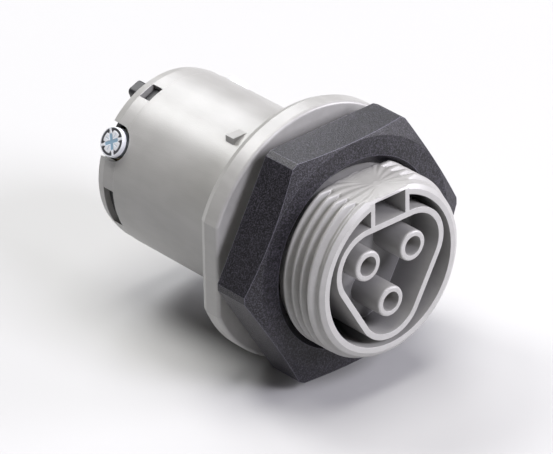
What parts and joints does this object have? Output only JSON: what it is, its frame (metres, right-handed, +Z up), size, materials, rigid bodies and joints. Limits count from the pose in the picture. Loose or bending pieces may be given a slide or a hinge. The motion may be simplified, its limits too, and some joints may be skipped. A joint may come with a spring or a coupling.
{
  "type": "panel-mount mains socket connector",
  "caption": "Round panel-mount socket of an industrial cable coupler: threaded nose with three contact tubes, seat flange, hexagonal locknut and rear screw terminals.",
  "frame": {"origin": "on the socket's axis, in the plane of the flange's front (panel) face", "axes": "-Y points out of the mating end, +Y to the wire end, +Z up towards the latch box over the collar, +X to the right seen from the front"},
  "size_m": [0.0364, 0.045, 0.0352],
  "materials": {
    "grey_moulding": "moulded satin, light warm grey",
    "nut_black": "grained, charcoal",
    "carrier_black": "moulded, black",
    "contact_brass": "bright",
    "spring_steel": "bright",
    "cage_brass": "machined",
    "plate_steel": "zinc plated",
    "screw_zinc": "zinc plated, bluish"
  },
  "bodies": {
    "socket_body": {"housing": "grey_moulding", "terminal_carrier": "carrier_black", "rear_cover": "carrier_black", "contact_line": "contact_brass", "contact_spring_line": "spring_steel", "clamp_cage_line": "cage_brass", "contact_neutral": "contact_brass", "contact_spring_neutral": "spring_steel", "clamp_cage_neutral": "cage_brass", "contact_earth": "contact_brass", "contact_spring_earth": "spring_steel", "clamp_cage_earth": "cage_brass"},
    "nut": {"locknut": "nut_black"},
    "screw_line": {"terminal_screw_line": "screw_zinc"},
    "plate_line": {"pressure_plate_line": "plate_steel"},
    "screw_neutral": {"terminal_screw_neutral": "screw_zinc"},
    "plate_neutral": {"pressure_plate_neutral": "plate_steel"},
    "screw_earth": {"terminal_screw_earth": "screw_zinc"},
    "plate_earth": {"pressure_plate_earth": "plate_steel"}
  },
  "joints": [
    {"name": "nut_turn", "type": "hinge", "parent": "socket_body", "child": "nut", "pos_m": [0, 0, 0], "axis": [0, 1, 0], "continuous": true},
    {"name": "screw_line_travel", "type": "slide", "parent": "socket_body", "child": "screw_line", "axis": [0.866, 0, -0.5], "range_m": [0, 0.0019]},
    {"name": "plate_line_travel", "type": "slide", "parent": "socket_body", "child": "plate_line", "axis": [0.866, 0, -0.5], "range_m": [0, 0.0019]},
    {"name": "screw_neutral_travel", "type": "slide", "parent": "socket_body", "child": "screw_neutral", "axis": [-0.866, 0, -0.5], "range_m": [0, 0.0019]},
    {"name": "plate_neutral_travel", "type": "slide", "parent": "socket_body", "child": "plate_neutral", "axis": [-0.866, 0, -0.5], "range_m": [0, 0.0019]},
    {"name": "screw_earth_travel", "type": "slide", "parent": "socket_body", "child": "screw_earth", "axis": [0, 0, 1], "range_m": [0, 0.0019]},
    {"name": "plate_earth_travel", "type": "slide", "parent": "socket_body", "child": "plate_earth", "axis": [0, 0, 1], "range_m": [0, 0.0019]}
  ],
  "couplings": [
    {"joint": "plate_line_travel", "follows": "screw_line_travel", "ratio": 1},
    {"joint": "plate_neutral_travel", "follows": "screw_neutral_travel", "ratio": 1},
    {"joint": "plate_earth_travel", "follows": "screw_earth_travel", "ratio": 1}
  ]
}
